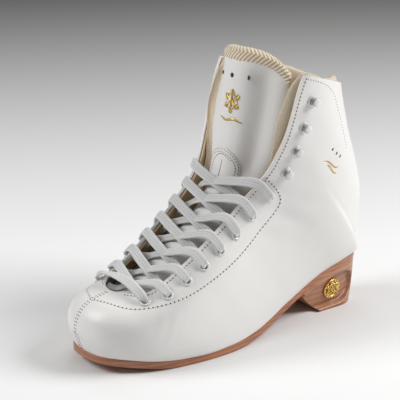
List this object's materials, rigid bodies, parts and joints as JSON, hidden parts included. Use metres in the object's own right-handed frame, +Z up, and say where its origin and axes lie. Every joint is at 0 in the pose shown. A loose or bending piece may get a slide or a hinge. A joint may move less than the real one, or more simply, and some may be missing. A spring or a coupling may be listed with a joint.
{
  "type": "figure skate boot",
  "caption": "Left lace-up figure-skating boot in white leather with a high padded tongue, speed hooks, leather sole and stacked leather heel, without its blade.",
  "frame": {"origin": "on the flat underside of the heel, on its centre line, 29 mm in front of its back edge; the ball of the sole lies in the same plane", "axes": "+X from heel to toe, +Y towards the outer (lateral) side of the foot, +Z up"},
  "size_m": [0.262, 0.1166, 0.2217],
  "materials": {
    "white_leather": "smooth coated leather with a soft sheen and dark dotted stitching",
    "lining_textile": "beige textile with a herringbone weave",
    "facing_leather": "tan leather with rows of fine perforations",
    "foam": "open foam",
    "stiffener": "stiffened leather board",
    "sole_leather": "waxed stacked leather with fine curved layer lines",
    "fibreboard": "pressed fibreboard",
    "cork": "granulated cork",
    "steel": "plain steel",
    "gilt": "gilt pressed metal",
    "white_enamel": "white enamel",
    "lace_cotton": "flat tubular cotton braid"
  },
  "bodies": {
    "boot": {"upper_lateral": "white_leather", "upper_medial": "white_leather", "toe_puff": "stiffener", "vamp_lining": "lining_textile", "heel_counter": "stiffener", "facing_lateral": "facing_leather", "facing_medial": "facing_leather", "lining_lateral": "lining_textile", "lining_medial": "lining_textile", "collar_lining_lateral": "lining_textile", "collar_lining_medial": "lining_textile", "ankle_foam_lateral": "foam", "ankle_foam_medial": "foam", "outsole": "sole_leather", "insole_board": "fibreboard", "footbed": "lining_textile", "cork_filler": "cork", "shank": "steel", "heel_block": "sole_leather", "heel_nail_1": "steel", "heel_nail_2": "steel", "heel_nail_3": "steel", "heel_nail_4": "steel", "heel_badge_lateral": "gilt", "heel_badge_medial": "gilt", "tongue_leather": "white_leather", "tongue_foam": "foam", "tongue_lining": "lining_textile", "lace_keeper": "white_leather", "eyelet_lateral_1": "white_enamel", "eyelet_lateral_2": "white_enamel", "eyelet_lateral_3": "white_enamel", "eyelet_lateral_4": "white_enamel", "eyelet_lateral_5": "white_enamel", "eyelet_lateral_6": "white_enamel", "eyelet_lateral_7": "white_enamel", "eyelet_lateral_8": "white_enamel", "hook_lateral_1": "white_enamel", "hook_lateral_2": "white_enamel", "hook_lateral_3": "white_enamel", "hook_lateral_4": "white_enamel", "eyelet_medial_1": "white_enamel", "eyelet_medial_2": "white_enamel", "eyelet_medial_3": "white_enamel", "eyelet_medial_4": "white_enamel", "eyelet_medial_5": "white_enamel", "eyelet_medial_6": "white_enamel", "eyelet_medial_7": "white_enamel", "eyelet_medial_8": "white_enamel", "hook_medial_1": "white_enamel", "hook_medial_2": "white_enamel", "hook_medial_3": "white_enamel", "hook_medial_4": "white_enamel", "lace": "lace_cotton"},
    "tongue_top": {"tongue_leather_top": "white_leather", "tongue_foam_top": "foam", "tongue_lining_top": "lining_textile", "tongue_roll": "lining_textile"}
  },
  "joints": [
    {"name": "tongue_flex", "type": "hinge", "parent": "boot", "child": "tongue_top", "pos_m": [0.0916, 0, 0.1463], "axis": [0, 1, 0], "range_deg": [0, 38], "stiffness_Nm_per_rad": 0.6}
  ]
}
